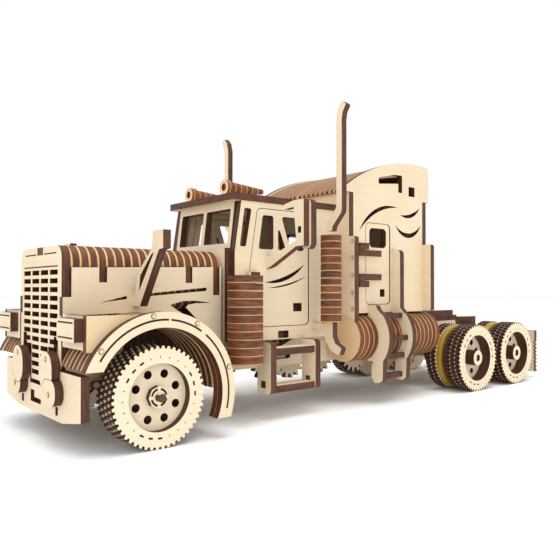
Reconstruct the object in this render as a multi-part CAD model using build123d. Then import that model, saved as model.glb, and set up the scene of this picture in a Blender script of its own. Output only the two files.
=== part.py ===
from build123d import *
import math
import os

# A wooden construction kit: a long-nose sleeper tractor truck, slotted together from laser-cut
# plywood plates.  Millimetres, +Z up.  The truck faces -Y and its left side is +X.  The origin is
# on the ground under the middle of the overall length.

# ---- Driving dimensions ---------------------------------------------------------------------
ply = 4.0                 # plywood sheet
stack_pitch = 4.3         # spacing of plates that are stacked side by side
stack_step = ply + 0.05   # spacing of plates that are glued face to face
side_gap = 0.4            # gap round a door or a hatch
joint_gap = 0.3           # gap between pieces that move past each other
running = 0.06            # radial clearance of a turning shaft
pin_r = 1.0               # wooden pins

wheel_r = 23.5
wheel_z = wheel_r         # height of every axle
wheelbase = 250.8         # front axle to first rear axle
tandem = 53.7             # between the two rear axles
nose_overhang = 38.7      # front axle to the front face
rear_overhang = 42.3      # second rear axle to the back face
teeth = 50

front_wheel_x = 58.3      # outer face of a front wheel
front_wheel_plies = 4
kingpin_x = 32.0
rear_wheel_x = 63.8       # outer face of a rear wheel
rim_r = 15.6              # opening in a wheel's face ring
spindle_r = 2.0
rear_shaft_r = 2.5

rail_x = 20.0             # inner face of a chassis rail
rail_bottom = 26.6
rail_top = 38.0
deck_rail_top = 48.0

bumper_half = 52.4
bumper_bottom = 12.0
bumper_end_bottom = 15.5
bumper_top = 35.2

nose_half = 28.8          # grille and hood ribs
nose_panel_x = 26.4       # inner face of a hood side panel
nose_top = 93.2
nose_front = -34.4        # grille front face, from the front axle
rib_count = 19
panel_top_front = 82.8
panel_top_rear = 84.8
fender_inner_r = 32.0
fender_outer_r = 38.0
fender_ring_r = 39.2
fender_ring_x = 57.6      # inner face of the fender ring
hinge_y = -27.4           # nose hinge line, from the front axle
hinge_z = 47.0

cab_x = 30.0              # inner face of a cab side frame
cab_front = 59.0
cab_rear = 139.0
cab_floor_z = 47.0
sill_z = 43.5             # lower edge of the cab side frames
roof_z = 122.0
roof_half = 32.5
door_front = 69.4
door_rear = 113.6
door_bottom = 51.4
door_top = 118.5
belt_z = 95.5             # lower edge of the windows

sleeper_half = 44.0
sleeper_rear = 217.0
sleeper_top = 133.4
wall_ear = 4.6            # how far the sleeper's end walls stand out past its sides
wall_ear_top = 105.5
sleeper_floor_z = 57.4
hatch_front = 154.6
hatch_rear = 177.4
hatch_bottom = 63.0
hatch_top = 115.0
hatch_axis = (46.8, 146.4)

tank_x = 38.0
tank_z = 41.9
tank_r = 14.9
tank_end = 224.5
strap_y = (156.4, 179.4)
strap_reach = 60.5

cleaner_centre = (44.2, 58.6)
cleaner_r = 9.6
muffler_centre = (48.4, 119.0)
muffler_r = 6.2

front_axle_y = nose_overhang - (nose_overhang + wheelbase + tandem + rear_overhang) / 2


def ya(station):
    """A Y position from its distance behind the front axle."""
    return front_axle_y + station


rear_axle_1 = ya(wheelbase)
rear_axle_2 = ya(wheelbase + tandem)
back_face = ya(wheelbase + tandem + rear_overhang)


# ---- Plates and outlines ---------------------------------------------------------------------
def plate_x(outline, x, thick=ply):
    """A plate across X: the outline is drawn in (Y, Z) and the plate runs towards +X."""
    return extrude(Plane(origin=(x, 0, 0), x_dir=(0, 1, 0), z_dir=(1, 0, 0)) * outline, thick)


def plate_y(outline, y, thick=ply):
    """A plate across Y: the outline is drawn in (X, Z) and the plate runs towards +Y."""
    return extrude(Plane(origin=(0, y, 0), x_dir=(1, 0, 0), z_dir=(0, -1, 0)) * outline, -thick)


def plate_z(outline, z, thick=ply):
    """A plate across Z: the outline is drawn in (X, Y) and the plate runs towards +Z."""
    return extrude(Plane(origin=(0, 0, z)) * outline, thick)


def board(u0, v0, u1, v1, radius=0.0):
    """A rectangular outline from its two opposite corners."""
    width, height = abs(u1 - u0), abs(v1 - v0)
    shape = RectangleRounded(width, height, radius) if radius else Rectangle(width, height)
    return Pos((u0 + u1) / 2, (v0 + v1) / 2) * shape


def shape(*points, radius=0.0):
    """A polygon outline, with its corners rounded if a radius is given."""
    outline = make_face(Polyline(*points, close=True))
    return fillet(outline.vertices(), radius) if radius else outline


def disc(u, v, radius):
    return Pos(u, v) * Circle(radius)


def ring_of_holes(u, v, pitch_r, hole_r, count):
    turns = [2 * math.pi * (i + 0.5) / count for i in range(count)]
    return [disc(u + pitch_r * math.cos(a), v + pitch_r * math.sin(a), hole_r) for a in turns]


def toothed(u, v, radius, phase=0.0, count=teeth, depth=1.2):
    """A tread plate's outline: square teeth round a disc."""
    points = []
    step = 2 * math.pi / count
    root = radius - depth
    for i in range(count):
        for share, r in ((-0.33, root), (-0.21, radius), (0.21, radius), (0.33, root)):
            a = (i + share + phase) * step
            points.append((u + r * math.cos(a), v + r * math.sin(a)))
    return make_face(Polyline(*points, close=True))


def solids_of(*parts):
    out = []
    for part in parts:
        for piece in (part if isinstance(part, (list, tuple)) else [part]):
            out += piece.solids()
    return out


def both_sides(*parts):
    left = solids_of(*parts)
    return left + [mirror(piece, about=Plane.YZ) for piece in left]


def left_or_right(parts, side):
    return parts if side > 0 else [mirror(piece, about=Plane.YZ) for piece in parts]


# ---- Chassis ---------------------------------------------------------------------------------
def rail_outline():
    """Low over the front axle, raised under the deck, with a hinge horn at the front."""
    horn_r = 2.7
    body = shape((ya(-30.7), 28), (ya(-12), 28), (ya(-8), rail_bottom), (back_face - ply, rail_bottom),
                 (back_face - ply, rail_top), (ya(284), rail_top), (ya(282), deck_rail_top),
                 (ya(120), deck_rail_top - 1.5), (ya(100), rail_top), (ya(-18), rail_top),
                 (ya(hinge_y) + horn_r, hinge_z), (ya(hinge_y) - horn_r, hinge_z), (ya(-30.7), 40))
    body += disc(ya(hinge_y), hinge_z, horn_r)
    body -= disc(ya(hinge_y), hinge_z, pin_r + running)
    for station in (30, 62, 94, 150, 180, 210):
        body -= board(ya(station), 30.5, ya(station) + 14, 35.5, 2)
    return body


def chassis_rails():
    return both_sides(plate_x(rail_outline(), rail_x))


cross_stations = (-8.0, 48.0, 84.0, 138.2, 205.0, 270.0, 330.0)


def cross_members():
    plates = []
    for station in cross_stations:
        outline = board(-rail_x, 28.5, rail_x, rail_top - 0.5) - board(-11, 31, 11, 35, 1.5)
        plates.append(plate_y(outline, ya(station)))
    return solids_of(*plates)


def axle_hangers():
    """Suspension plates outside the rails: they carry the two rear shafts."""
    top = rail_top
    outline = shape((rear_axle_1 - 16, top), (rear_axle_1 - 7, 17.5), (rear_axle_1 + 7, 17.5),
                    (rear_axle_1 + 16, 27), (rear_axle_2 - 16, 27), (rear_axle_2 - 7, 17.5),
                    (rear_axle_2 + 7, 17.5), (rear_axle_2 + 16, top), radius=2)
    for y in (rear_axle_1, rear_axle_2):
        outline -= disc(y, wheel_z, rear_shaft_r + running)
    spring = shape((ya(-20), 28.6), (ya(20), 28.6), (ya(16), 24.4), (ya(6), 22.2), (ya(-6), 22.2),
                   (ya(-16), 24.4), radius=1)
    spring -= board(ya(-2.9), 21, ya(2.9), 26)
    return both_sides(plate_x(outline, rail_x + ply), plate_x(spring, rail_x + ply))


def front_axle_beam():
    beam_r = 2.8
    beam = board(-kingpin_x, front_axle_y - beam_r, kingpin_x, front_axle_y + beam_r)
    for x in (-kingpin_x, kingpin_x):
        beam += disc(x, front_axle_y, beam_r)
    for x in (-kingpin_x, kingpin_x):
        beam -= disc(x, front_axle_y, pin_r + running)
    return solids_of(plate_z(beam, wheel_z - ply / 2, ply))


slot_half = 24.0
slot_bar = 2.4
slot_height = 2.4
slot_pitch = 4.1
slot_top = 82.0
guard_x = 20.5


def bumper():
    """The bumper plate, with two tow guards and their lower lugs on its front face."""
    face_y = ya(nose_front - joint_gap)
    tongue = 13.0
    plate = shape((-bumper_half, bumper_end_bottom), (-31, bumper_bottom), (31, bumper_bottom),
                  (bumper_half, bumper_end_bottom), (bumper_half, bumper_top), (tongue, bumper_top),
                  (tongue, 25.8), (-tongue, 25.8), (-tongue, bumper_top), (-bumper_half, bumper_top))
    plate -= shape((-12, 16.5), (3, 16.5), (3, 19), (-6.5, 19), (-6.5, 22.4), (-12, 22.4))
    for x in (-24.2, 24.2):
        plate -= board(x - 1.6, 14.6, x + 1.6, 18.6)
    guard = board(guard_x - 8.2, 25.5, guard_x + 8.2, 44.0, 8.0)
    lug = board(guard_x - 4.5, 19.6, guard_x + 12.5, 31.4, 5.6)
    flip = Plane.YZ
    right_guard = mirror(guard, about=flip)
    right_lug = mirror(lug, about=flip)
    fronts = [guard - offset(lug, joint_gap), lug, right_guard, right_lug - offset(right_guard, joint_gap)]
    return solids_of(plate_y(plate, face_y), [plate_y(f, face_y - ply) for f in fronts])


def engine():
    """A straight-six block of stacked plates with a fan disc, between the rails."""
    block = []
    for i in range(9):
        y = ya(4 + i * stack_pitch)
        outline = board(-12, rail_top, 12, 62 + 4 * (i % 2), 1)
        block.append(plate_y(outline, y))
    fan = disc(0, 56, 11) - disc(0, 56, pin_r)
    for hole in ring_of_holes(0, 56, 7, 1.8, 6):
        fan -= hole
    block.append(plate_y(fan, ya(-1.0)))
    return solids_of(*block)


def rear_deck():
    """Deck boards over the rails behind the sleeper, and the winding block on them."""
    half = rail_x + ply
    long_board = board(-half, ya(221.2), half, ya(284))
    low_board = board(-half, ya(285), half, ya(338)) - disc(0, ya(310), 5)
    boards = [plate_z(long_board, deck_rail_top), plate_z(board(-half, ya(221.2), half, ya(279)),
                                                         deck_rail_top + stack_step)]
    boards.append(plate_z(low_board, rail_top))
    return solids_of(*boards)


def winding_block():
    block = []
    for i in range(8):
        half = 21 + (i % 2)
        outline = board(-half, deck_rail_top + 2 * stack_step, half, 71, 1.5)
        block.append(plate_y(outline, ya(221.2 + i * stack_pitch)))
    return solids_of(*block)


coupling_bore_r = 4.5
coupling_y = ya(310)


def fifth_wheel():
    """The coupling plate: a horseshoe with a bore for a trailer's pin, on two bearers."""
    plate = disc(0, coupling_y, 21)
    plate -= shape((-3.5, coupling_y + 6), (3.5, coupling_y + 6), (9, coupling_y + 24),
                   (-9, coupling_y + 24))
    plate -= disc(0, coupling_y, coupling_bore_r)
    bearer = board(-17, coupling_y - 14, -8, coupling_y + 13, 1)
    other = mirror(bearer, about=Plane.YZ)
    z = rail_top + ply
    return solids_of(plate_z(plate, z + ply), plate_z(bearer, z), plate_z(other, z))


def mudflaps():
    """One plate across the tail with a flap behind each pair of wheels, its edge cut in steps."""
    flap = board(34.5, 5.0, 58, 33)
    for i in range(8):
        z = 7.0 + 3 * i
        flap -= board(57.2, z, 58.5, z + 1.5)
    bar = board(-58, 31, 58, 38.6)
    return solids_of(plate_y(bar + flap + mirror(flap, about=Plane.YZ), back_face - ply))


# ---- Front running gear ----------------------------------------------------------------------
def knuckle(side):
    """Two arms over and under the beam, a plate across their ends, a steering arm and the spindle."""
    arm = board(kingpin_x - 2.6, front_axle_y - 4, kingpin_x + 3.2, front_axle_y + 4, 1.2)
    low = arm + board(kingpin_x - 4, front_axle_y + 1, kingpin_x, front_axle_y + 14, 1.5)
    pin_hole = disc(kingpin_x, front_axle_y, pin_r)
    tie_hole = disc(kingpin_x - 2, front_axle_y + 12, pin_r)
    gap = ply / 2 + joint_gap
    upper = plate_z(arm - pin_hole, wheel_z + gap)
    lower = plate_z(low - pin_hole - tie_hole, wheel_z - gap - ply)
    across = board(front_axle_y - 6, wheel_z - gap - ply, front_axle_y + 6, wheel_z + gap + ply, 1.5)
    end = plate_x(across - disc(front_axle_y, wheel_z, spindle_r), kingpin_x + 3.2)
    return left_or_right(solids_of(upper, lower, end), side)


def spindle(side):
    start = kingpin_x + 3.2
    reach = front_wheel_x + 2.0 - start
    shaft = Plane(origin=(start, front_axle_y, wheel_z), z_dir=(1, 0, 0)) * Cylinder(
        spindle_r, reach, align=(Align.CENTER, Align.CENTER, Align.MIN))
    low_z = wheel_z - ply / 2 - joint_gap - ply
    kingpin = Pos(kingpin_x, front_axle_y, low_z) * Cylinder(
        pin_r, 3 * ply + 2 * joint_gap, align=(Align.CENTER, Align.CENTER, Align.MIN))
    tie_pin = Pos(kingpin_x - 2, front_axle_y + 12, low_z - ply - joint_gap) * Cylinder(
        pin_r, 2 * ply + joint_gap, align=(Align.CENTER, Align.CENTER, Align.MIN))
    return left_or_right(solids_of(shaft, kingpin, tie_pin), side)


def tie_rod():
    """A flat rod joins the steering arms: its holes are slots, so the arms can swing."""
    y = front_axle_y + 12
    x = kingpin_x - 2
    z = wheel_z - ply / 2 - 2 * joint_gap - 2 * ply
    rod = board(-x - 3, y - 3, x + 3, y + 3, 2.5)
    for centre in (-x, x):
        rod -= Pos(centre, y) * SlotOverall(2 * (pin_r + 1.3), 2 * (pin_r + 0.35), rotation=90)
    return solids_of(plate_z(rod, z))


def front_wheel(side):
    """Tread plates with their teeth out of step, a face ring, a disc with holes and a hub."""
    centre = (front_axle_y, wheel_z)
    bore = disc(*centre, spindle_r + running)
    plates = []
    for i in range(front_wheel_plies):
        x = front_wheel_x - (i + 1) * ply
        outline = toothed(*centre, wheel_r, phase=0.5 * (i % 2))
        outline -= disc(*centre, rim_r) if i in (0, 3) else bore
        if i in (1, 2):
            for hole in ring_of_holes(*centre, 11.0, 2.0, 8):
                outline -= hole
        plates.append(plate_x(outline, x))
    hub = Pos(*centre) * RegularPolygon(5.2, 8) - bore
    plates.append(plate_x(hub, front_wheel_x - ply, 3.0))
    return left_or_right(solids_of(*plates), side)


# ---- Rear axles ------------------------------------------------------------------------------
def rear_shaft(y):
    half = rear_wheel_x - 2.0
    shaft = Plane(origin=(-half, y, wheel_z), z_dir=(1, 0, 0)) * Cylinder(
        rear_shaft_r, 2 * half, align=(Align.CENTER, Align.CENTER, Align.MIN))
    return solids_of(shaft)


def rear_wheels(y):
    """Twin wheels on each end of the shaft: a deep outer dish, a smooth rim and an inner wheel."""
    centre = (y, wheel_z)
    bore = disc(*centre, rear_shaft_r)
    web = ring_of_holes(*centre, 11.0, 2.0, 8)
    plates = []
    for i, (kind, phase) in enumerate((("open", 0.0), ("open", 0.5), ("web", 0.0), ("smooth", 0.0),
                                       ("groove", 0.0), ("full", 0.0), ("full", 0.5))):
        x = rear_wheel_x - (i + 1) * ply
        if kind == "smooth":
            outline = disc(*centre, 20.0)
        elif kind == "groove":
            outline = disc(*centre, 18.5)
        else:
            outline = toothed(*centre, wheel_r, phase=phase)
        outline -= disc(*centre, rim_r + 0.6) if kind == "open" else bore
        if kind == "web":
            for hole in web:
                outline -= hole
        plates.append(plate_x(outline, x))
    for i in range(2):
        hub = disc(*centre, 5.4) - bore
        plates.append(plate_x(hub, rear_wheel_x - (i + 1) * ply))
    left = solids_of(*plates)
    return left + left_or_right(left, -1)


def rear_bands(y):
    """Rubber drive bands in the groove between the twin wheels."""
    outline = disc(y, wheel_z, 22.5) - disc(y, wheel_z, 18.55)
    band = fillet(plate_x(outline, rear_wheel_x - 5 * ply + 0.1, ply - 0.2).edges(), 0.9)
    return both_sides(band)


def gear(u, v, count, module, bore_r, phase=0.0):
    """An involute spur gear's outline, thinned for backlash."""
    pitch_r = count * module / 2
    base_r = pitch_r * math.cos(math.radians(20))
    tip_r = pitch_r + 0.85 * module
    root_r = pitch_r - 1.2 * module
    half = math.pi / 2 / count - 0.18 / pitch_r
    pitch_roll = math.sqrt((pitch_r / base_r) ** 2 - 1)
    pitch_inv = pitch_roll - math.atan(pitch_roll)
    flank = []
    for i in range(5):
        r = max(base_r, root_r) + (tip_r - max(base_r, root_r)) * i / 4
        roll = math.sqrt(max((r / base_r) ** 2 - 1, 0))
        flank.append((r, half + pitch_inv - (roll - math.atan(roll))))
    points = []
    for i in range(count):
        mid = 2 * math.pi * (i + phase) / count
        start = [(root_r, flank[0][1] + 0.02)] + flank
        for r, a in start:
            points.append((u + r * math.cos(mid - a), v + r * math.sin(mid - a)))
        for r, a in reversed(start):
            points.append((u + r * math.cos(mid + a), v + r * math.sin(mid + a)))
    return make_face(Polyline(*points, close=True)) - disc(u, v, bore_r)


gear_teeth = 14
gear_module = 1.5
gear_spacing = gear_teeth * gear_module + 0.15
idler_lift = 2.8          # the idler is drawn out of mesh, so the truck rolls freely
idler_y = rear_axle_1 - gear_spacing - idler_lift


def axle_gear():
    outline = gear(rear_axle_1, wheel_z, gear_teeth, gear_module, rear_shaft_r)
    return solids_of(plate_x(outline, -ply / 2))


def idler_gear():
    """The motor's last gear, on its own cross shaft."""
    outline = gear(idler_y, wheel_z, gear_teeth, gear_module, pin_r * 1.5, phase=0.5)
    return solids_of(plate_x(outline, -ply / 2), cross_shaft(idler_y, wheel_z, rail_x + ply))


def gearbox_plates():
    """Hanging plates under the rails that carry the idler's shaft, and the fixed train ahead."""
    outline = board(idler_y - 5, wheel_z - 5, idler_y + 5, rail_bottom + 8, 1.5)
    outline -= disc(idler_y, wheel_z, pin_r * 1.5 + running)
    plates = both_sides(plate_x(outline, rail_x - ply))
    for i, station in enumerate((102, 124, 156, 178)):
        wheel = gear(ya(station), 28, 16, gear_module, pin_r * 1.5, phase=0.25 * i)
        plates += solids_of(plate_x(wheel, 8 - 6 * (i % 3)), cross_shaft(ya(station), 28, rail_x))
    return plates


def cross_shaft(y, z, half):
    """A thin shaft across the truck."""
    return Plane(origin=(-half, y, z), z_dir=(1, 0, 0)) * Cylinder(
        pin_r * 1.5, 2 * half, align=(Align.CENTER, Align.CENTER, Align.MIN))


# ---- Nose: grille, hood and fenders, tilting as one ------------------------------------------
def grille_plate():
    y = ya(nose_front)
    outline = board(-nose_half, 60, nose_half, nose_top, 6) + board(-nose_half, 45.4, nose_half, 70)
    outline += board(-12, 27.8, 12, 50)
    outline += board(-nose_half, 38, -24.8, 50) + board(24.8, 38, nose_half, 50)
    for side in (-1, 1):
        outline -= board(side * nose_panel_x, 60.5, side * (nose_half + 1), 69.3)
        outline -= board(side * (rail_x - 0.7), 44, side * (rail_x + ply + 0.7), hinge_z + 3.6)
    width = (2 * slot_half - 3 * slot_bar) / 4
    for row in range(13):
        top = slot_top - row * slot_pitch
        for column in range(4):
            left = -slot_half + column * (width + slot_bar)
            if row < 9 or column in (1, 2):
                outline -= board(left, top - slot_height, left + width, top)
    outline -= board(-spine_half, 89.4, spine_half, nose_top + 1)
    return solids_of(plate_y(outline, y))


spine_half = 4.1          # two spine plates side by side


def rib_station(index):
    return nose_front + ply + joint_gap + index * stack_pitch


tab_ribs = {3: 76.0, 14: 76.0, 18: 69.5}


def hood_ribs():
    """Arched ribs across the hood.  Three reach down into notches in the side panels."""
    ribs = []
    for i in range(rib_count):
        share = i / (rib_count - 1)
        seat = panel_top_front + (panel_top_rear - panel_top_front) * share + 0.3
        outline = board(-nose_half, 62, nose_half, nose_top + 0.3, 9)
        outline -= board(-21.5, 55, 21.5, 87.2, 5)
        floor_z = tab_ribs.get(i, seat)
        for side in (-1, 1):
            outline -= board(side * (nose_panel_x - 0.02), 50, side * 40, floor_z)
        outline -= board(-spine_half, 50, spine_half, 90)
        ribs.append(plate_y(outline, ya(rib_station(i))))
    return solids_of(*ribs)


def hood_panels():
    """Side panels of the hood, notched at the top for the ribs that reach down.  A long flash and a
    boomerang are cut through each."""
    front, rear = ya(nose_front), ya(52.5)
    outline = shape((front, 60.6), (ya(4), 61.4), (ya(16), 52), (ya(32), 42), (rear, 42),
                    (rear, panel_top_rear), (front + ply, panel_top_front), (front + ply, 69.2),
                    (front, 69.2))
    for index, low in tab_ribs.items():
        y = ya(rib_station(index))
        outline -= board(y - 0.02, low, y + ply + 0.02, 95)
    outline -= shape((ya(-17), 66.3), (ya(-3), 68.0), (ya(-3), 69.5))
    outline -= shape((ya(7), 69.1), (ya(43), 71.8), (ya(43), 73.6), (ya(7), 70.5))
    outline -= shape((ya(21.3), 64.3), (ya(22.4), 65.2), (ya(29), 66.6), (ya(36), 66.6),
                     (ya(46.6), 65.4), (ya(36.4), 65.3), (ya(31.6), 64.6), (ya(30.2), 63.2),
                     (ya(33), 60.6), (ya(38.4), 55.6), (ya(31), 58.6), (ya(25.6), 61.6))
    return both_sides(plate_x(outline, nose_panel_x))


def hood_spine():
    """Two spine plates under the ribs, and two hinge lugs behind the grille."""
    y0 = ya(nose_front)
    spine = shape((y0, 89.5), (y0 + ply, 89.5), (y0 + ply, 80), (ya(52.5), 80), (ya(52.5), 89.9),
                  (y0 + ply, 89.9), (y0 + ply, nose_top), (y0, nose_top))
    lug = board(y0 + ply, hinge_z + 1.8, ya(-18), 60, 1) + disc(ya(hinge_y), hinge_z, 2.7)
    lug += board(ya(hinge_y) - 2.7, hinge_z, ya(hinge_y) + 2.7, hinge_z + 6)
    lug -= disc(ya(hinge_y), hinge_z, pin_r)
    web = plate_x(board(y0 + ply, 50, ya(-14), 60), rail_x - joint_gap - ply)
    pin = Plane(origin=(rail_x - joint_gap - ply, ya(hinge_y), hinge_z), z_dir=(1, 0, 0)) * Cylinder(
        pin_r, 2 * ply + joint_gap + 0.8, align=(Align.CENTER, Align.CENTER, Align.MIN))
    lug_plate = plate_x(lug, rail_x - joint_gap - ply)
    spines = solids_of(plate_x(spine, 0.05), plate_x(spine, -0.05 - ply))
    return spines + both_sides(lug_plate + web, pin)


def arch(outer_r, front_z, rear_z):
    """The part of a ring round the wheel that lies above the bumper and the fender's tail."""
    ring = disc(front_axle_y, wheel_z, outer_r) - disc(front_axle_y, wheel_z, fender_inner_r)
    keep = board(front_axle_y - 60, front_z, front_axle_y, 90)
    keep += board(front_axle_y, rear_z, front_axle_y + 60, 90)
    return ring & keep


fender_front_z = 38.0
fender_tail_z = 10.5


def fender_rings():
    return both_sides(plate_x(arch(fender_ring_r, fender_front_z, fender_tail_z), fender_ring_x))


def fender_layers():
    """Arched layers between the hood and the ring, and the flat side plate just inside the ring."""
    layers = []
    x = nose_panel_x + ply
    while x + stack_step < fender_ring_x - stack_step:
        layers.append(plate_x(arch(fender_outer_r, fender_front_z, 24.0), x))
        x += stack_step + 0.45
    face = arch(fender_outer_r, fender_front_z, fender_tail_z)
    corner = board(ya(nose_front), 46, front_axle_y, wheel_z + fender_outer_r)
    face += corner - disc(front_axle_y, wheel_z, fender_outer_r)
    layers.append(plate_x(face, fender_ring_x - stack_step))
    return both_sides(*layers)


def lamps():
    """A signal lamp plate on each side, on a backing plate that closes the fender's front."""
    back = board(nose_panel_x + ply, 46.7, fender_ring_x - stack_step, wheel_z + fender_outer_r)
    back_plate = plate_y(back, ya(nose_front))
    lamp = plate_y(board(34, 50.2, 54, 60.2), ya(nose_front) - ply)
    return both_sides(back_plate, lamp)


def nose_mirrors():
    arm = shape((nose_panel_x + ply, 64.5), (38, 64.5), (56.5, 91), (60.5, 91.5), (60.5, 100),
                (51, 100), (50, 92), (35.5, 80.5), (33, 70), (nose_panel_x + ply, 70))
    arm -= shape((37, 71.5), (52, 90), (49.6, 89.2), (38.4, 79.4))
    return both_sides(plate_y(arm, ya(0)))


# ---- Cab -------------------------------------------------------------------------------------
def cab_walls():
    """The firewall, the cowl front, the dashboard and the back wall, all across the cab."""
    saddle = board(-rail_x - ply - 1, 40, rail_x + ply + 1, 49.5)
    firewall = board(-cab_x, sill_z, cab_x, belt_z) - board(-10, 52, 10, 60, 2) - saddle
    dash = board(-cab_x, 84, cab_x, belt_z)
    back = board(-cab_x, cab_floor_z, cab_x, roof_z) - board(-18, 62, 18, 110, 3)
    return solids_of(plate_y(firewall, ya(cab_front - 4)), plate_y(dash, ya(cab_front + 9)),
                     plate_y(back, ya(cab_rear - ply)))


def windscreen():
    """A raked frame with two panes' openings."""
    height = (roof_z - belt_z) / math.cos(math.radians(7))
    outline = board(-cab_x + 1, 0, cab_x - 1, height)
    for x0, x1 in ((-cab_x + 4, -1.6), (1.6, cab_x - 4)):
        outline -= board(x0, 3, x1, height - 4, 1.2)
    plate = extrude(Plane(origin=(0, 0, 0), x_dir=(1, 0, 0), z_dir=(0, -1, 0)) * outline, -ply)
    return solids_of(Pos(0, ya(cab_front + 0.3), belt_z) * (Rot(-7, 0, 0) * plate))


def door_edge(z):
    """The door's front edge leans back above the belt line."""
    return door_front + max(0.0, (z - 84.0)) * 0.16


def door_outline(grow=0.0):
    front, rear = ya(door_front) - grow, ya(door_rear) + 2 * grow
    low, high = door_bottom - grow, door_top + grow
    outline = shape((front, low), (rear, low), (rear, high), (ya(door_edge(high)) - grow, high),
                    (front, 84.0))
    return fillet(outline.vertices(), 3.0 + grow)


def cab_sides():
    """Side frames with a door opening and a small quarter window ahead of the door."""
    outline = shape((ya(cab_front), sill_z), (ya(cab_rear), sill_z), (ya(cab_rear), roof_z),
                    (ya(cab_front + 4.5), roof_z), (ya(cab_front), belt_z - 2))
    outline -= door_outline(side_gap)
    quarter = shape((ya(62.4), belt_z + 1), (ya(66.6), belt_z + 1), (ya(70.6), roof_z - 4),
                    (ya(65.6), roof_z - 4), radius=1)
    outline -= quarter
    outline -= board(ya(90), 44.2, ya(98), 48.4)
    return both_sides(plate_x(outline, cab_x))


def floor_boards():
    """Floors of the cab and of the sleeper."""
    cab = board(-cab_x, ya(cab_front), cab_x, ya(cab_rear - ply))
    bunk = board(-sleeper_half + ply, ya(cab_rear + ply), sleeper_half - ply, ya(sleeper_rear - ply))
    bed = board(-30, ya(cab_rear + 12), 30, ya(sleeper_rear - 8), 2)
    return solids_of(plate_z(cab, cab_floor_z), plate_z(bunk, sleeper_floor_z),
                     plate_z(bed, sleeper_floor_z + ply, 8))


def cab_roof():
    outline = board(-roof_half - 2, ya(57.4), roof_half + 2, ya(cab_rear), 1.5)
    return solids_of(plate_z(outline, roof_z))


def seats():
    """Two seats, each a cushion and a back on a box."""
    pieces = []
    for x in (-15.5, 15.5):
        base = board(x - 8, ya(92), x + 8, ya(112), 2)
        pieces.append(plate_z(base, cab_floor_z + ply, 10))
        pieces.append(plate_z(board(x - 9, ya(90), x + 9, ya(112), 3), cab_floor_z + ply + 10))
        back = board(x - 9, cab_floor_z + ply + 14, x + 9, 96, 4)
        pieces.append(plate_y(back, ya(108)))
    return solids_of(*pieces)


wheel_tilt = 55.0
wheel_centre = (15.5, 80.5, 84.0)


def steering_wheel():
    """A rim with three spokes on a short column."""
    place = Pos(wheel_centre[0], ya(wheel_centre[1]), wheel_centre[2]) * Rot(-wheel_tilt, 0, 0)
    rim = Circle(6.4) - Circle(5.0)
    for i in range(3):
        rim += Rot(0, 0, 90 + 120 * i) * (Pos(3, 0) * Rectangle(6, 1.5))
    rim += Circle(1.8)
    wheel = extrude(rim, 2)
    column = Pos(0, 0, -5.6) * Cylinder(pin_r, 5.6, align=(Align.CENTER, Align.CENTER, Align.MIN))
    return solids_of(place * wheel, place * column)


def air_horns():
    """Two trumpets on the roof: a ring at the mouth and a cone behind it."""
    pieces = []
    z = roof_z + ply + 5.0
    for x in (-19, 19):
        mouth = disc(x, z, 4.3) - disc(x, z, 2.2)
        pieces.append(plate_y(mouth, ya(62)))
        body = Plane(origin=(x, ya(62 + ply), z), z_dir=(0, 1, 0)) * Cone(
            3.6, 1.5, 24, align=(Align.CENTER, Align.CENTER, Align.MIN))
        pieces.append(body)
        foot = board(x - 1.5, roof_z + ply, x + 1.5, z - 2.2)
        pieces.append(plate_y(foot, ya(76), 2.5) - body)
    return solids_of(*pieces)


def stacked_discs(centre, radius, low, high):
    """Round plates threaded on a pin, one above the other."""
    plates = []
    z = low
    while z + ply <= high + 0.01:
        plates.append(plate_z(disc(centre[0], ya(centre[1]), radius), z))
        z += stack_pitch
    return plates


def air_cleaners():
    return both_sides(stacked_discs(cleaner_centre, cleaner_r, 33.0, 82.4))


def mufflers():
    return both_sides(stacked_discs(muffler_centre, muffler_r, 53.3, 106.8))


def exhaust_stacks():
    """Flat stacks above the mufflers, each with a knee and an outward tip, and the elbows below."""
    x = muffler_centre[0]
    y = ya(muffler_centre[1]) - ply / 2
    stack = shape((x - 1.8, 107), (x + 2.8, 107), (x + 3.2, 109.6), (x + 10.4, 117.4), (x + 10.8, 120),
                  (x + 10.8, 171.5), (x + 11.6, 175.6), (x + 14.2, 179.6), (x + 11.0, 182),
                  (x + 7.9, 178.2), (x + 6.4, 172.5), (x + 6.4, 121.8), (x + 5.8, 119.8),
                  (x - 1.0, 112.6), (x - 1.8, 110.4), radius=0.6)
    elbow = shape((x - 3.2, 53.1), (x + 3.2, 53.1), (x + 3.2, 45), (x + 5.2, 41), (x + 10.4, 38.4),
                  (x + 8.4, 34), (x + 1.6, 36.6), (x - 3.2, 42.6), radius=0.8)
    bar = board(cab_x + ply, 48.6, x - 3.2, 52.4)
    return both_sides(plate_y(stack, y), plate_y(elbow + bar, y))


def sills():
    """Entry steps: two hangers under each door."""
    plates = []
    for station in (73.2, 106.6):
        outline = board(36.2, 15, 48, 43.4, 2.5) - board(39.4, 18, 43.4, 22)
        outline += board(cab_x + ply, 38.5, 38, 43.4)
        plates.append(plate_y(outline, ya(station)))
    return both_sides(*plates)


def step_treads():
    treads = []
    for z in (15.4, 36.0):
        treads.append(plate_z(board(37.4, ya(73.2 + ply), 47.2, ya(106.6)), z))
    return both_sides(*treads)


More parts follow.
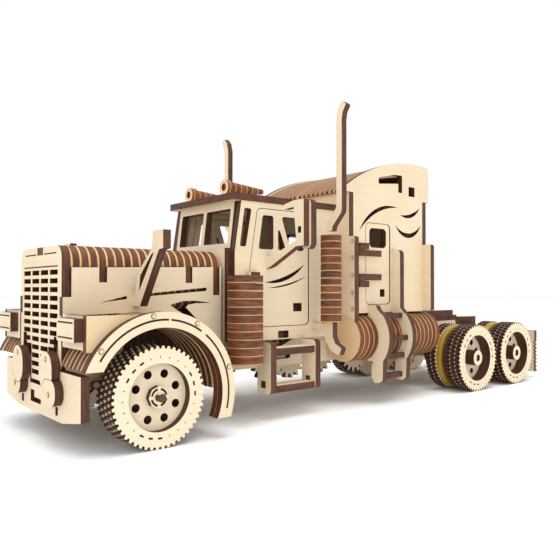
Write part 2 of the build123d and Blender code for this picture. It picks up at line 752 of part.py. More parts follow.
# ---- Doors and hatches -----------------------------------------------------------------------
def door(side):
    outline = door_outline()
    front = shape((ya(75.6), belt_z), (ya(86.5), belt_z), (ya(86.5), 115), (ya(78.6), 115), radius=1.5)
    rear = shape((ya(99.5), belt_z), (ya(110), belt_z), (ya(110), 115), (ya(92.5), 115), radius=1.5)
    vent = shape((ya(90), 115 - 5), (ya(90), belt_z), (ya(96.2), belt_z), radius=0.8)
    outline = outline - front - rear - vent
    outline -= board(ya(101.6), 59.4, ya(108.4), 64.4)
    outline -= swoosh((ya(80), 76.6), (ya(97), 78.2), (ya(110.6), 87.6), 2.8)
    outline -= swoosh((ya(82), 73.4), (ya(98), 75.0), (ya(112), 80.4), 1.2)
    return left_or_right(solids_of(plate_x(outline, cab_x)), side)


def swoosh(a, b, c, width):
    """A pointed crescent cut: two arcs through the same ends."""
    lower = ThreePointArc(a, b, c)
    upper = ThreePointArc(c, (b[0] + 0.6, b[1] + width), a)
    return make_face([lower, upper])


mirror_station = 81.0
knuckle_z = (55.0, 74.0)


def door_fittings(side):
    """The mirror on its bracket, and the door's half of the hinge."""
    outer = cab_x + ply
    bracket = shape((outer, 84.5), (outer + 4, 85.5), (60, 96), (66, 96), (66, 121), (58, 121),
                    (50, 119.5), (50, 116.8), (58, 117.4), (60, 99.2), (40, 91.5), (outer, 91.5))
    bracket -= shape((61.4, 103), (64, 103), (64, 106.5), (61.4, 106.5))
    glass = board(59.5, 94.5, 67.5, 121.5, 3.4)
    pieces = [plate_y(bracket, ya(mirror_station)), plate_y(glass, ya(mirror_station + ply))]
    for z in knuckle_z:
        pieces.append(hinge_ear(z + ply + joint_gap, ya(door_front), 5, pin_r))
    return left_or_right(solids_of(*pieces), side)


door_axis_x = cab_x + ply + 2.2


def hinge_ear(z, y, reach, pin_hole):
    """A hinge ear on a side's outer face, reaching forward or back from the pin line."""
    axis_y = y - side_gap
    foot_x = cab_x + ply if reach < 0 else cab_x + ply + joint_gap
    ear = disc(door_axis_x, axis_y, door_axis_x - cab_x - ply - joint_gap)
    ear += board(foot_x, min(axis_y, y + reach), door_axis_x + 0.8, max(axis_y, y + reach))
    if reach > 0:
        ear += board(cab_x + ply, y + 0.3, door_axis_x, y + reach)
    return plate_z(ear - disc(door_axis_x, axis_y, pin_hole), z)


def door_hinges():
    """The cab's half of each hinge, with its pin."""
    pieces = []
    for z in knuckle_z:
        pieces.append(hinge_ear(z, ya(door_front), -3.5, pin_r - running))
        pieces.append(Pos(door_axis_x, ya(door_front) - side_gap, z) * Cylinder(
            pin_r - running, 2 * ply + joint_gap, align=(Align.CENTER, Align.CENTER, Align.MIN)))
    return both_sides(*pieces)


def hatch_outline(grow=0.0):
    return board(ya(hatch_front) - grow, hatch_bottom - grow, ya(hatch_rear) + 2.6 * grow,
                 hatch_top + grow, 3.0 + grow)


def hatch(side):
    outline = hatch_outline() - board(ya(157.8), 99.4, ya(174.2), 112, 3)
    outline -= board(ya(168), 67.6, ya(172.6), 72.6)
    return left_or_right(solids_of(plate_x(outline, sleeper_half - ply)), side)


strap_levels = (93.3, 78.2)


def hatch_straps(side):
    """Strap hinges on the hatch, each with an eye round the hinge pin."""
    x, station = hatch_axis
    pieces = []
    for z in strap_levels:
        strap = board(sleeper_half + 0.35, ya(station), x + 1.6, ya(hatch_front + 10))
        strap += board(sleeper_half, ya(hatch_front + 0.4), x + 1.6, ya(hatch_front + 10))
        strap += disc(x, ya(station), 2.4)
        pieces.append(plate_z(strap - disc(x, ya(station), pin_r + running), z))
    return left_or_right(solids_of(*pieces), side)


def hatch_hinges():
    """Fixed hinge blocks on the sleeper's side, with their pins."""
    x, station = hatch_axis
    pieces = []
    upper, lower = strap_levels
    reach = ply + joint_gap
    for z, low in ((upper + reach, upper), (lower - reach, lower - reach)):
        block = board(sleeper_half, ya(station - 2.4), x + 2.0, ya(station + 6))
        pieces.append(plate_z(block - disc(x, ya(station), pin_r), z))
        pieces.append(Pos(x, ya(station), low) * Cylinder(
            pin_r, 2 * ply + joint_gap, align=(Align.CENTER, Align.CENTER, Align.MIN)))
    return both_sides(*pieces)


# ---- Sleeper ---------------------------------------------------------------------------------
def sleeper_walls():
    """Front and rear walls: below a shoulder they stand out past the sides."""
    ear_x = sleeper_half + wall_ear
    front = board(-sleeper_half, 60, sleeper_half, sleeper_top)
    front += board(-ear_x, 48, ear_x, wall_ear_top, 1.5)
    front += board(-ear_x, 48, ear_x, 60)
    front -= board(-rail_x - ply - 0.2, 40, rail_x + ply + 0.2, deck_rail_top)
    front -= board(-18, 62, 18, 110, 3)
    for side in (-1, 1):
        front -= disc(side * tank_x, tank_z, tank_r + 0.1)
    rear_x = sleeper_half + wall_ear + 2.4
    rear = board(-sleeper_half, 57.4, sleeper_half, sleeper_top)
    rear += board(-rear_x, 57.8, rear_x, wall_ear_top - 2, 1.5)
    return solids_of(plate_y(front, ya(cab_rear)), plate_y(rear, ya(sleeper_rear - ply)))


def sleeper_sides():
    """Side panels with the hatch opening, and a stop for the hatch."""
    outline = board(ya(cab_rear + ply), 57.4, ya(sleeper_rear - ply), sleeper_top)
    outline -= hatch_outline(side_gap)
    outline -= swoosh((ya(148), 109), (ya(162), 120.6), (ya(186), 127), 3.2)
    outline -= swoosh((ya(189), 122.6), (ya(200), 121.4), (ya(210), 129), 2.8)
    outline -= swoosh((ya(184), 115.4), (ya(199), 107.6), (ya(211), 117), 3.2)
    return both_sides(plate_x(outline, sleeper_half - ply))


def fairing_profile(drop=0.0):
    """The roof's side view: it rises from the front in an arc and falls a little to the tail."""
    y0, y1, y2 = ya(135.2), ya(196), ya(220)
    arc = ThreePointArc((y0, 136.2 - drop), (ya(165), 151.6 - drop), (y2, 157.6 - drop))
    base = Polyline((y2, 157.6 - drop), (y2, sleeper_top), (y0, sleeper_top), (y0, 136.2 - drop))
    return make_face([arc, base])


def fairing_sides():
    outline = fairing_profile()
    cut = shape((ya(167), 145.5), (ya(167), 141.3), (ya(187), 143.5), (ya(187), 137.5), (ya(191), 137.5),
                (ya(191), 149.4), (ya(183), 149), radius=0.8)
    outline = outline - cut - board(ya(198), 136, ya(204.5), 142.6)
    return both_sides(plate_x(outline, sleeper_half - ply))


def fairing_ribs():
    """Long curved ribs side by side make the roof."""
    ribs = []
    clear = 2 * (sleeper_half - ply)
    count = int(clear / stack_pitch)
    start = -(count * stack_pitch - (stack_pitch - ply)) / 2
    outline = fairing_profile(1.2) - offset_down()
    for i in range(count):
        ribs.append(plate_x(outline, start + i * stack_pitch))
    return solids_of(*ribs)


def offset_down():
    """The hollow under the roof ribs."""
    y0, y2 = ya(141), ya(214)
    arc = ThreePointArc((y0, sleeper_top + 0.5), (ya(168), 144.5), (y2, 149.5))
    base = Polyline((y2, 149.5), (y2, sleeper_top - 1), (y0, sleeper_top - 1), (y0, sleeper_top + 0.5))
    return make_face([arc, base])


def tank_straps():
    """Ladder straps: each drops down the sleeper's side, bows round the tank and ends in a foot."""
    plates = []
    for y, top in zip(strap_y, (62.4, 98.4)):
        bow = disc(tank_x + 1.2, tank_z, tank_r + 7.4) & board(tank_x, tank_z - 15, 80, tank_z + 15)
        bow += board(sleeper_half, tank_z + 14.5, sleeper_half + 7.4, top, 2) if top < 80 else \
            board(sleeper_half, tank_z + 14.5, sleeper_half + 7.4, top, 3)
        bow += shape((sleeper_half + 0.2, tank_z + 12), (sleeper_half + 7.4, tank_z + 18.5),
                     (sleeper_half + 13, tank_z + 13), (sleeper_half + 10, tank_z + 9))
        bow += shape((50.0, tank_z - 12), (56.5, tank_z - 14), (56, 15.5), (53, 13.6), (49, 13.6),
                     (47, 16.5), (47, tank_z - 18), radius=1.2)
        bow -= disc(tank_x, tank_z, tank_r + 0.15)
        bow -= board(0, 0, sleeper_half + 0.0, 100)
        plates.append(plate_y(bow, ya(y)))
    return both_sides(*plates)


def ladder_rungs():
    """Rungs between the straps."""
    y0, y1 = ya(strap_y[0] + ply), ya(strap_y[1])
    rungs = []
    for x, z in ((51.5, 17.5), (53.4, 30.0), (56.2, 41.5), (51.6, 55.6)):
        rungs.append(extrude(Plane(origin=(0, y0, 0), x_dir=(1, 0, 0), z_dir=(0, -1, 0)) *
                             board(x - 1.6, z - 1.6, x + 1.6, z + 1.6), -(y1 - y0)))
    return both_sides(*rungs)


def fuel_tanks():
    discs = []
    y = ya(cab_rear)
    while y + ply < ya(tank_end):
        discs.append(plate_y(disc(tank_x, tank_z, tank_r) - board(0, 0, rail_x + ply + 0.2, 80), y))
        y += stack_pitch
    return both_sides(*discs)


# ---- Nodes -----------------------------------------------------------------------------------
nodes = {
    "chassis_rails": chassis_rails(),
    "cross_members": cross_members(),
    "axle_hangers": axle_hangers(),
    "front_axle_beam": front_axle_beam(),
    "bumper": bumper(),
    "engine": engine(),
    "rear_deck": rear_deck(),
    "winding_block": winding_block(),
    "fifth_wheel": fifth_wheel(),
    "mudflaps": mudflaps(),
    "gearbox_plates": gearbox_plates(),
    "tie_rod": tie_rod(),
    "idler_gear": idler_gear(),
    "grille_plate": grille_plate(),
    "hood_ribs": hood_ribs(),
    "hood_panels": hood_panels(),
    "hood_spine": hood_spine(),
    "fender_rings": fender_rings(),
    "fender_layers": fender_layers(),
    "signal_lamps": lamps(),
    "nose_mirrors": nose_mirrors(),
    "cab_walls": cab_walls(),
    "windscreen_frame": windscreen(),
    "cab_sides": cab_sides(),
    "floor_boards": floor_boards(),
    "cab_roof": cab_roof(),
    "seats": seats(),
    "steering_wheel": steering_wheel(),
    "air_horns": air_horns(),
    "air_cleaners": air_cleaners(),
    "mufflers": mufflers(),
    "exhaust_stacks": exhaust_stacks(),
    "step_hangers": sills(),
    "step_treads": step_treads(),
    "hinge_blocks": door_hinges() + hatch_hinges(),
    "sleeper_walls": sleeper_walls(),
    "sleeper_sides": sleeper_sides(),
    "fairing_sides": fairing_sides(),
    "fairing_ribs": fairing_ribs(),
    "tank_ladders": tank_straps() + ladder_rungs(),
    "fuel_tanks": fuel_tanks(),
}
for name, side in (("left", 1), ("right", -1)):
    nodes[name + "_knuckle"] = knuckle(side) + spindle(side)
    nodes[name + "_front_wheel"] = front_wheel(side)
    nodes[name + "_door"] = door(side)
    nodes[name + "_door_fittings"] = door_fittings(side)
    nodes[name + "_hatch"] = hatch(side)
    nodes[name + "_hatch_straps"] = hatch_straps(side)
for number, y in ((1, rear_axle_1), (2, rear_axle_2)):
    nodes[f"rear_shaft_{number}"] = rear_shaft(y) + (axle_gear() if number == 1 else [])
    nodes[f"rear_wheels_{number}"] = rear_wheels(y)
    nodes[f"rear_bands_{number}"] = rear_bands(y)

os.makedirs("parts", exist_ok=True)
for name, solids in nodes.items():
    export_step(Compound(solids), os.path.join("parts", name + ".step"))
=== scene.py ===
import math

import bpy
from mathutils import Matrix, Vector


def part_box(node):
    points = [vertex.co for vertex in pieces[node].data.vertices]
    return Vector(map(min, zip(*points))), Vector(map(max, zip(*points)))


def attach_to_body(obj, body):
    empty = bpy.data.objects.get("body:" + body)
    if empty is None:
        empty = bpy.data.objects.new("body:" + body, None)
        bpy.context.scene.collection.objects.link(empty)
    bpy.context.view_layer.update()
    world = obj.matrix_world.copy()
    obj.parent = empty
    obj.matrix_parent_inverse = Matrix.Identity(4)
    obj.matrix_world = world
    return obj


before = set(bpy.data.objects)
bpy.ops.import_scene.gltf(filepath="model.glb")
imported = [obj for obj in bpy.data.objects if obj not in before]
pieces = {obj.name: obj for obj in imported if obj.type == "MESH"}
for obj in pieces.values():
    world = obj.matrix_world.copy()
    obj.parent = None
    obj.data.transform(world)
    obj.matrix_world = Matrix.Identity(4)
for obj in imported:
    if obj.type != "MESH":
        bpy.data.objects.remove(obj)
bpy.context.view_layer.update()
mm = 0.001


# ---- Bodywork: flat birch plywood, laser cut -------------------------------------------------
# 4 mm three-veneer birch plywood, cut by laser and left raw.  Its faces stay pale and faintly
# grained; every cut edge is scorched brown, darkest where the beam went slowly.

def paint(hex_colour):
    """A hex sRGB colour as the linear colour that a shader takes."""
    def channel(part):
        share = int(part, 16) / 255
        return share / 12.92 if share <= 0.04045 else ((share + 0.055) / 1.055) ** 2.4
    text = hex_colour.lstrip("#")
    return tuple(channel(text[i:i + 2]) for i in (0, 2, 4)) + (1.0,)


def add(tree, kind, feeds=None, **settings):
    """Add a node with its settings; feeds gives each input a value or another node's output."""
    made = tree.nodes.new(kind)
    for name, value in settings.items():
        setattr(made, name, value)
    for name, value in (feeds or {}).items():
        if isinstance(value, bpy.types.NodeSocket):
            tree.links.new(value, made.inputs[name])
        else:
            made.inputs[name].default_value = value
    return made


def blank_material(name):
    """A new material and its empty node tree."""
    material = bpy.data.materials.new(name)
    material.use_nodes = True
    material.node_tree.nodes.clear()
    return material, material.node_tree


def laser_ply(name, sheet_axis, grain_axis, face=("#ECDFC6", "#CFB68E"), edge=("#693819", "#35190A"),
              start=0.0, pitch=4.3, sliver=0.0, sanded="#D9A86A"):
    """Raw plywood whose faces look along sheet_axis.  Grain lines are about 0.9 mm apart and run
    60 mm; the scorched edge shows its three veneers as streaks 1.3 mm wide.  Plates stacked from
    start at a pitch each have a tone of their own, and a pale sliver where their rims are sanded."""
    material, tree = blank_material(name)
    place = add(tree, "ShaderNodeTexCoord")
    normal = add(tree, "ShaderNodeSeparateXYZ", {0: place.outputs["Normal"]})
    facing = add(tree, "ShaderNodeMath", {0: normal.outputs[sheet_axis]}, operation="ABSOLUTE")
    on_face = add(tree, "ShaderNodeMath", {0: facing.outputs[0], 1: 0.75}, operation="GREATER_THAN")

    grain_scale = [1 / (0.9 * mm)] * 3
    grain_scale[grain_axis] = 1 / (60 * mm)
    along = add(tree, "ShaderNodeMapping", {0: place.outputs["Object"], "Scale": grain_scale})
    grain = add(tree, "ShaderNodeTexNoise", {"Vector": along.outputs[0], "Scale": 1.0, "Detail": 4.0,
                                            "Roughness": 0.6, "Distortion": 0.3})
    clouds = add(tree, "ShaderNodeTexNoise", {"Vector": place.outputs["Object"],
                                             "Scale": 1 / (22 * mm), "Detail": 2.0})
    parts = add(tree, "ShaderNodeSeparateXYZ", {0: place.outputs["Object"]})
    reach = parts.outputs[sheet_axis]
    if sheet_axis == 0:
        reach = add(tree, "ShaderNodeMath", {0: reach}, operation="ABSOLUTE").outputs[0]
    sheet = add(tree, "ShaderNodeMath", {0: reach, 1: 1 / (pitch * mm), 2: -start / (pitch * mm)},
                operation="MULTIPLY_ADD")
    count = add(tree, "ShaderNodeMath", {0: sheet.outputs[0]}, operation="FLOOR")
    own_tone = add(tree, "ShaderNodeTexWhiteNoise", {"W": count.outputs[0]}, noise_dimensions="1D")
    grained = add(tree, "ShaderNodeMath", {0: grain.outputs[0], 1: 0.55, 2: -0.05},
                  operation="MULTIPLY_ADD")
    clouded = add(tree, "ShaderNodeMath", {0: clouds.outputs[0], 1: 0.35, 2: grained.outputs[0]},
                  operation="MULTIPLY_ADD")
    mellowed = add(tree, "ShaderNodeMath", {0: own_tone.outputs[0], 1: 0.2, 2: clouded.outputs[0]},
                   operation="MULTIPLY_ADD", use_clamp=True)
    raw_face = add(tree, "ShaderNodeMix", {0: mellowed.outputs[0], 6: paint(face[0]),
                                           7: paint(face[1])}, data_type="RGBA")

    veneer_scale = [1 / (9 * mm)] * 3
    veneer_scale[sheet_axis] = 1 / (1.3 * mm)
    across = add(tree, "ShaderNodeMapping", {0: place.outputs["Object"], "Scale": veneer_scale})
    streaks = add(tree, "ShaderNodeTexNoise", {"Vector": across.outputs[0], "Scale": 1.0,
                                              "Detail": 3.0, "Roughness": 0.7})
    char = add(tree, "ShaderNodeMapRange", {0: streaks.outputs[0], 1: 0.3, 2: 0.7})
    toned = add(tree, "ShaderNodeMath", {0: own_tone.outputs[0], 1: 0.3, 2: char.outputs[0]},
                operation="MULTIPLY_ADD", use_clamp=True)
    cut_edge = add(tree, "ShaderNodeMix", {0: toned.outputs[0], 6: paint(edge[0]),
                                           7: paint(edge[1])}, data_type="RGBA")
    if sliver:
        through = add(tree, "ShaderNodeMath", {0: sheet.outputs[0]}, operation="FRACT")
        rim = add(tree, "ShaderNodeMath", {0: through.outputs[0], 1: sliver}, operation="LESS_THAN")
        cut_edge = add(tree, "ShaderNodeMix", {0: rim.outputs[0], 6: cut_edge.outputs[2],
                                               7: paint(sanded)}, data_type="RGBA")
    surface = add(tree, "ShaderNodeMix", {0: on_face.outputs[0], 6: cut_edge.outputs[2],
                                          7: raw_face.outputs[2]}, data_type="RGBA")
    relief = add(tree, "ShaderNodeBump", {"Height": grain.outputs[0], "Strength": 0.18,
                                         "Distance": 0.2 * mm})
    wood = add(tree, "ShaderNodeBsdfPrincipled", {"Base Color": surface.outputs[2], "Roughness": 0.62,
                                                 "Normal": relief.outputs[0], "IOR": 1.5})
    add(tree, "ShaderNodeOutputMaterial", {0: wood.outputs[0]})
    return material


def dress(material, *names):
    """Give a CAD piece its material."""
    for name in names:
        slots = pieces[name].data.materials
        slots.clear()
        slots.append(material)


side_ply = laser_ply("laser-cut birch plywood, side panels", 0, 1)
cross_ply = laser_ply("laser-cut birch plywood, cross panels", 1, 0)
flat_ply = laser_ply("laser-cut birch plywood, flat panels", 2, 1)
dress(side_ply, "chassis_rails", "axle_hangers", "hood_panels", "hood_spine", "cab_sides",
      "sleeper_sides", "fairing_sides", "left_door", "right_door", "left_hatch", "right_hatch",
      "gearbox_plates")
dress(cross_ply, "cross_members", "bumper", "engine", "mudflaps", "grille_plate", "signal_lamps",
      "nose_mirrors", "cab_walls", "windscreen_frame", "exhaust_stacks", "step_hangers",
      "sleeper_walls", "tank_ladders", "left_door_fittings", "right_door_fittings")
dress(flat_ply, "front_axle_beam", "rear_deck", "fifth_wheel", "tie_rod", "floor_boards", "cab_roof",
      "seats", "step_treads", "hinge_blocks", "left_hatch_straps", "right_hatch_straps",
      "left_knuckle", "right_knuckle")


# ---- Stacked hood, fender and roof ribs ------------------------------------------------------
# Many thin ribs pressed side by side make the rounded hood, fenders and roof.  What shows is
# almost all cut edge, toasted a warm brown, with the pale faces as slivers between the ribs.
toasted = {"face": ("#E6D2AE", "#CDAE80"), "edge": ("#7E4724", "#45210D"), "sliver": 0.2}
hood_stack = laser_ply("birch plywood hood ribs", 1, 0, start=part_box("hood_ribs")[0].y, **toasted)
roof_stack = laser_ply("birch plywood roof ribs", 0, 1, start=0.15 * mm, **toasted)
fender_stack = laser_ply("birch plywood fender ribs", 0, 1, start=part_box("hood_panels")[1].x,
                         pitch=4.5, **toasted)
dress(hood_stack, "hood_ribs")
dress(roof_stack, "fairing_ribs")
dress(fender_stack, "fender_layers")


# ---- Barrels: air cleaners, mufflers and fuel tanks ------------------------------------------
# Round plates threaded on a pin.  Their rims are lighter and redder than straight edges, because
# the beam runs quickly round a curve, and each plate keeps a tone of its own.
singed = {"face": ("#E8CFA6", "#C9A377"), "edge": ("#945228", "#42200C"), "sliver": 0.13,
          "sanded": "#C48F55"}
for name, sheet_axis, grain_axis in (("air_cleaners", 2, 0), ("mufflers", 2, 0), ("fuel_tanks", 1, 0),
                                     ("winding_block", 1, 0)):
    dress(laser_ply("scorched discs of the " + name.replace("_", " "), sheet_axis, grain_axis,
                    start=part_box(name)[0][sheet_axis], **singed), name)
dress(laser_ply("scorched rings of the horns", 1, 0, **singed), "air_horns")


# ---- Wheels ----------------------------------------------------------------------------------
# Toothed tread plates with a pale face ring, on round hubs.  The teeth are all cut edge, so the
# tread is dark, and the flat arches over the front wheels are cut from the side panels' sheet.
wheel_ply = laser_ply("laser-cut birch plywood, wheels", 0, 1, face=("#F0E4CE", "#DCC6A0"),
                      edge=("#5E3218", "#2C1508"), pitch=4.0)
dress(wheel_ply, "left_front_wheel", "right_front_wheel", "rear_wheels_1", "rear_wheels_2")
dress(side_ply, "fender_rings")


# ---- Shafts and the steering wheel -----------------------------------------------------------
# Round beech dowel, sanded: pale, close-grained and a little smoother than the plywood.
dowel = laser_ply("sanded beech dowel", 0, 0, face=("#E6CFA8", "#CBAA7C"), edge=("#DDC39A", "#B98F5F"))
dress(dowel, "rear_shaft_1", "rear_shaft_2", "idler_gear", "steering_wheel")


# ---- Drive bands -----------------------------------------------------------------------------
# Moulded natural rubber rings, tinted olive, in the groove between the twin wheels.  Rubber is
# dull with a soft sheen where it is stretched.
rubber, tree = blank_material("olive natural rubber, moulded")
place = add(tree, "ShaderNodeTexCoord")
bloom = add(tree, "ShaderNodeTexNoise", {"Vector": place.outputs["Object"], "Scale": 1 / (3 * mm),
                                        "Detail": 3.0})
tint = add(tree, "ShaderNodeMix", {0: bloom.outputs[0], 6: paint("#B79322"), 7: paint("#8A6C16")},
           data_type="RGBA")
dimples = add(tree, "ShaderNodeBump", {"Height": bloom.outputs[0], "Strength": 0.1,
                                      "Distance": 0.2 * mm})
band = add(tree, "ShaderNodeBsdfPrincipled", {"Base Color": tint.outputs[2], "Roughness": 0.5,
                                             "IOR": 1.52, "Normal": dimples.outputs[0]})
add(tree, "ShaderNodeOutputMaterial", {0: band.outputs[0]})
dress(rubber, "rear_bands_1", "rear_bands_2")


# ---- Engraved decoration ---------------------------------------------------------------------
# Lines burnt into the faces by a weak pass of the laser: matt, almost black char.  Each is laid
# on as a film 0.08 mm thick, because char swells a little above the sheet.
char_film, tree = blank_material("laser char")
place = add(tree, "ShaderNodeTexCoord")
soot = add(tree, "ShaderNodeTexNoise", {"Vector": place.outputs["Object"], "Scale": 1 / (0.8 * mm),
                                       "Detail": 3.0})
black = add(tree, "ShaderNodeMix", {0: soot.outputs[0], 6: paint("#2E1A10"), 7: paint("#150B06")},
            data_type="RGBA")
char = add(tree, "ShaderNodeBsdfPrincipled", {"Base Color": black.outputs[2], "Roughness": 0.85,
                                             "IOR": 1.5})
add(tree, "ShaderNodeOutputMaterial", {0: char.outputs[0]})
film = 0.08 * mm


def attach(name, mesh, finish, body):
    """Put a finished mesh on a body, as part of the plywood."""
    mesh.materials.append(finish)
    made = bpy.data.objects.new(name, mesh)
    bpy.context.scene.collection.objects.link(made)
    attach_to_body(made, body)


def burn(name, outlines, axis, at, outward, body):
    """Burn closed outlines onto the face that lies at a place along an axis (0 for X, 1 for Y)."""
    corners, faces = [], []
    for outline in outlines:
        start, size = len(corners), len(outline)
        for depth in (0.0, film):
            for u, v in outline:
                height = at + outward * depth
                corners.append((height, u, v) if axis == 0 else (u, height, v))
        faces.append(tuple(range(start, start + size)))
        faces.append(tuple(reversed(range(start + size, start + 2 * size))))
        for i in range(size):
            j = (i + 1) % size
            faces.append((start + j, start + i, start + size + i, start + size + j))
    mesh = bpy.data.meshes.new(name)
    mesh.from_pydata(corners, [], faces)
    mesh.validate()
    attach(name, mesh, char_film, body)


def arc_band(centre, inner, outer, start, end, steps=24):
    """A curved band between two radii; its angles are in degrees from the rear, upwards."""
    angles = [math.radians(start + (end - start) * i / steps) for i in range(steps + 1)]
    rim = [(centre[0] + outer * math.cos(a), centre[1] + outer * math.sin(a)) for a in angles]
    back = [(centre[0] + inner * math.cos(a), centre[1] + inner * math.sin(a))
            for a in reversed(angles)]
    return rim + back


def tyre_ticks(axle, inner, outer):
    """Plain ticks round a tyre wall: three long ones, then five short ones, three times over."""
    pitch, long_half, short_half = 15, 3.4, 0.5      # degrees
    ticks = []
    for i in range(360 // pitch):
        half = long_half if i % 8 in (0, 1, 2) else short_half
        ticks.append(arc_band(axle, inner, outer, pitch * i - half, pitch * i + half, steps=4))
    return ticks


def side_view_centre(low, high):
    """The middle of a piece's box, seen from the side, as its Y and Z."""
    return ((low.y + high.y) / 2, (low.z + high.z) / 2)


sides = ((1, "left"), (-1, "right"))
front_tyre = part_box("left_front_wheel")
front_axle = side_view_centre(*front_tyre)
tyre_face = front_tyre[1].x
hub_face = tyre_face - 1.0 * mm      # the hub stands 1 mm inside the tyre's face
ring_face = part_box("fender_rings")[1].x
fender_dashes = ((-14, 51), (56, 84), (86, 148))     # degrees, from the rear over the top
for side, word in sides:
    # The long scorched arc on each fender ring, broken into three dashes.
    dashes = [arc_band(front_axle, 35.1 * mm, 36.0 * mm, a, b) for a, b in fender_dashes]
    burn(word + "_fender_arc", dashes, 0, side * ring_face, side, "nose")
    ticks = tyre_ticks(front_axle, 18.0 * mm, 18.9 * mm)
    burn(word + "_tyre_ticks", ticks, 0, side * tyre_face, side, word + "_wheel_body")
    # A scorched ring in four parts round the hub's pin.
    quarters = [arc_band(front_axle, 3.3 * mm, 4.3 * mm, a, a + 66, steps=8)
                for a in (12, 102, 192, 282)]
    burn(word + "_hub_ring", quarters, 0, side * hub_face, side, word + "_wheel_body")

for number in (1, 2):
    low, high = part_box(f"rear_wheels_{number}")
    ticks = tyre_ticks(side_view_centre(low, high), 18.4 * mm, 19.2 * mm)
    for side, word in sides:
        burn(f"{word}_rear_tyre_ticks_{number}", ticks, 0, side * high.x, side, f"rear_axle_{number}")


def line(u0, v0, u1, v1, wide):
    """A straight engraved line as a thin box."""
    a, b = Vector((u0, v0)), Vector((u1, v1))
    across = (b - a).orthogonal().normalized() * wide / 2
    return [tuple(a + across), tuple(b + across), tuple(b - across), tuple(a - across)]


# The lamp plates carry two lines each, and the grille two lines above its slots.
lamp_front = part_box("signal_lamps")[0].y
for side, word in sides:
    lines = [line(side * 35.5 * mm, z, side * 52.5 * mm, z, 0.7 * mm)
             for z in (51.9 * mm, 58.5 * mm)]
    burn(word + "_lamp_lines", lines, 1, lamp_front, -1, "nose")
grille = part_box("grille_plate")
upper, lower = grille[1].z - 3.4 * mm, grille[1].z - 9.6 * mm
lines = [line(-22 * mm, upper, -6 * mm, upper, 0.6 * mm),
         line(6 * mm, upper, 22 * mm, upper, 0.6 * mm),
         line(-24 * mm, lower, 24 * mm, lower, 0.6 * mm)]
burn("grille_lines", lines, 1, grille[0].y, -1, "nose")


# ---- Toothpick pins --------------------------------------------------------------------------
# Sharpened birch sticks 2 mm thick hold the plates together.  Their snapped-off ends stand out by
# half a millimetre, pale against the scorched holes round them.
pin_wood = laser_ply("birch toothpick", 0, 1, face=("#E3CDA4", "#C8A778"), edge=("#E3CDA4", "#C8A778"))
# Part, radius and standing height in mm, and finish.
pin_parts = (("pin", 1.0, 0.5, pin_wood), ("rim", 1.3, 0.12, char_film))


def pin_end(name, centre, axis, outward, body):
    """A pin's end on a face, with its charred hole's rim, looking along an axis."""
    turn = Matrix.Rotation(math.pi / 2, 4, "Y") if axis == 0 else Matrix.Rotation(math.pi / 2, 4, "X")
    if outward * (1 if axis == 0 else -1) < 0:
        turn = turn @ Matrix.Rotation(math.pi, 4, "X")
    for part, radius, length, finish in pin_parts:
        corners, faces, count = [], [], 20
        for depth in (0.0, length * mm):
            for i in range(count):
                a = 2 * math.pi * i / count
                corners.append((radius * mm * math.cos(a), radius * mm * math.sin(a), depth))
        faces.append(tuple(reversed(range(count))))
        faces.append(tuple(range(count, 2 * count)))
        for i in range(count):
            j = (i + 1) % count
            faces.append((i, j, count + j, count + i))
        mesh = bpy.data.meshes.new(f"{name}_{part}")
        mesh.from_pydata(corners, [], faces)
        mesh.transform(Matrix.Translation(centre) @ turn)
        attach(f"{name}_{part}", mesh, finish, body)


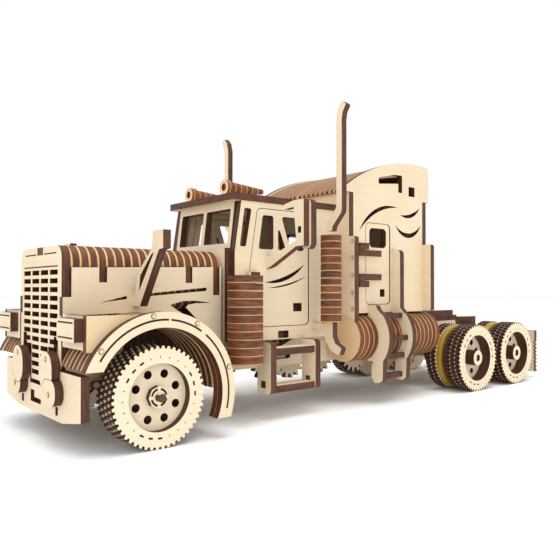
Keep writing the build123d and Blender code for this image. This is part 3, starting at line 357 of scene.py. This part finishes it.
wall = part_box("sleeper_walls")[0].y
bumper_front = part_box("bumper")[0].y
pin_ring = 37.6 * mm      # the fender's pins stand on this radius round the front axle
for side, word in sides:
    for i, height in enumerate((102.5, 92.2, 81.5, 70.5, 60.5)):
        pin_end(f"{word}_wall_pin_{i}", (side * 46.6 * mm, wall, height * mm), 1, -1, "chassis")
    for i, turn in enumerate((18, 62, 98, 142)):
        a = math.radians(turn)
        spot = (side * ring_face, front_axle[0] + pin_ring * math.cos(a),
                front_axle[1] + pin_ring * math.sin(a))
        pin_end(f"{word}_fender_pin_{i}", spot, 0, side, "nose")
    pin_end(f"{word}_guard_pin", (side * 20.5 * mm, bumper_front, 40.5 * mm), 1, -1, "chassis")
    pin_end(f"{word}_lug_pin", (side * 24.5 * mm, bumper_front, 24.5 * mm), 1, -1, "chassis")


# ---- Floor, light and camera -----------------------------------------------------------------
# A plain pale tabletop of matt paper, which gives back nothing but a soft shadow.  A wide softbox
# hangs overhead, with a weaker one at the front, in an evenly white room.
white, tree = blank_material("matt white paper")
paper = add(tree, "ShaderNodeBsdfPrincipled", {"Base Color": paint("#FDFDFC"), "Roughness": 0.95})
add(tree, "ShaderNodeOutputMaterial", {0: paper.outputs[0]})
floor_mesh = bpy.data.meshes.new("tabletop")
half = 6.0
floor_mesh.from_pydata([(-half, -half, 0), (half, -half, 0), (half, half, 0), (-half, half, 0)],
                       [], [(0, 1, 2, 3)])
floor_mesh.materials.append(white)
floor = bpy.data.objects.new("tabletop", floor_mesh)
bpy.context.scene.collection.objects.link(floor)

world = bpy.data.worlds.new("studio")
bpy.context.scene.world = world
world.use_nodes = True
room = world.node_tree.nodes["Background"]
room.inputs["Color"].default_value = paint("#FFFFFF")
room.inputs["Strength"].default_value = 1.0
bpy.context.scene.view_settings.view_transform = "Standard"


def softbox(name, place, aim, size, power):
    """A square softbox at a place, turned towards its aim."""
    light = bpy.data.lights.new(name, "AREA")
    light.size = size
    light.energy = power
    lamp = bpy.data.objects.new(name, light)
    bpy.context.scene.collection.objects.link(lamp)
    lamp.location = place
    lamp.rotation_euler = (Vector(aim) - Vector(place)).to_track_quat("-Z", "Y").to_euler()


softbox("overhead softbox", (0.25, -0.15, 1.2), (0, 0, 0.05), 0.8, 8.0)
softbox("front softbox", (0.75, -0.95, 0.55), (0, 0, 0.06), 0.5, 2.0)

camera = bpy.data.cameras.new("camera")
camera.lens = 39.06
camera.sensor_width = 36.0
camera.clip_start = 0.01
tripod = bpy.data.objects.new("camera", camera)
bpy.context.scene.collection.objects.link(tripod)
tripod.location = Vector((0.3052, front_axle[0] - 0.1364, 0.0733))
line_of_sight = Vector((-0.7656, 0.6432, 0.0133))
tripod.rotation_euler = line_of_sight.to_track_quat("-Z", "Y").to_euler()
bpy.context.scene.camera = tripod
